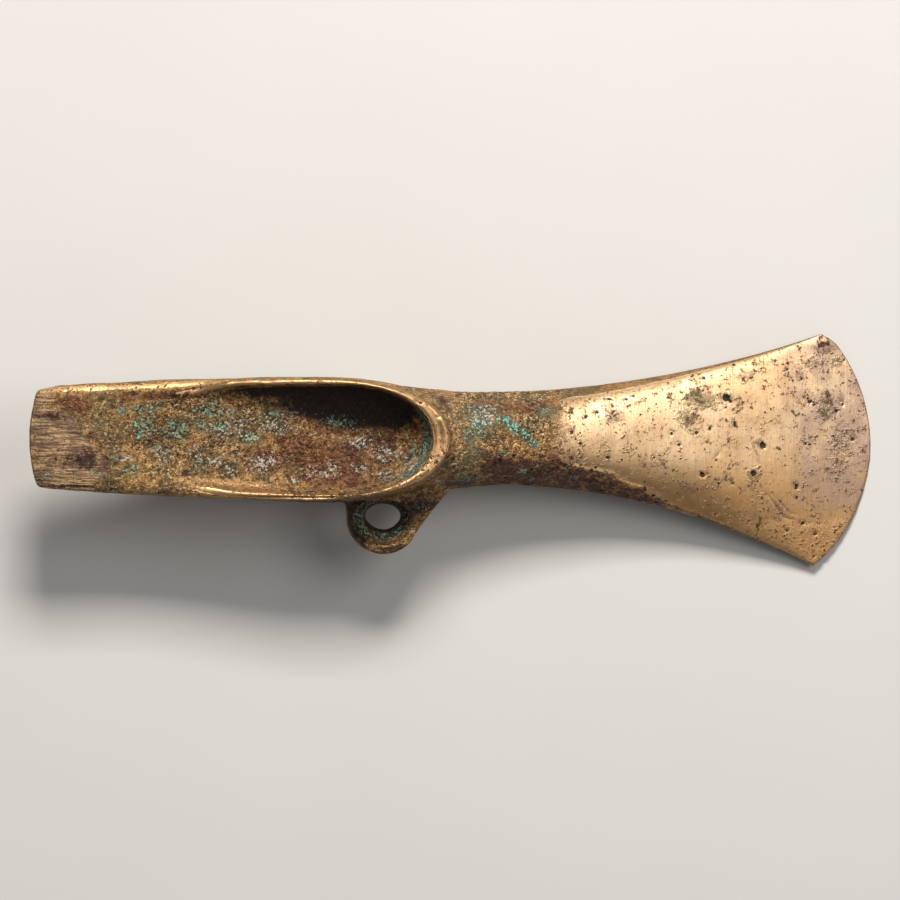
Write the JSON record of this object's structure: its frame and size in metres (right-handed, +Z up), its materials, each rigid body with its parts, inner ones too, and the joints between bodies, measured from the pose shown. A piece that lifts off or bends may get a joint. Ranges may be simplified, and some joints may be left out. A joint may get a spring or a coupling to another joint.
{
  "type": "bronze axe head",
  "caption": "Cast bronze axe head with flanged hafting recesses on both faces, stop lips, a side loop and a flared blade with a crescent edge.",
  "frame": {"origin": "middle of the axe's outline in plan, on the table that it lies on", "axes": "+X towards the cutting edge, +Y across, away from the side loop, +Z up from the table"},
  "size_m": [0.1638, 0.0454, 0.0281],
  "materials": {
    "bronze": "worn, part-cleaned bronze with brown, red and green patina"
  },
  "bodies": {
    "root": {"axe_head": "bronze"}
  },
  "joints": []
}
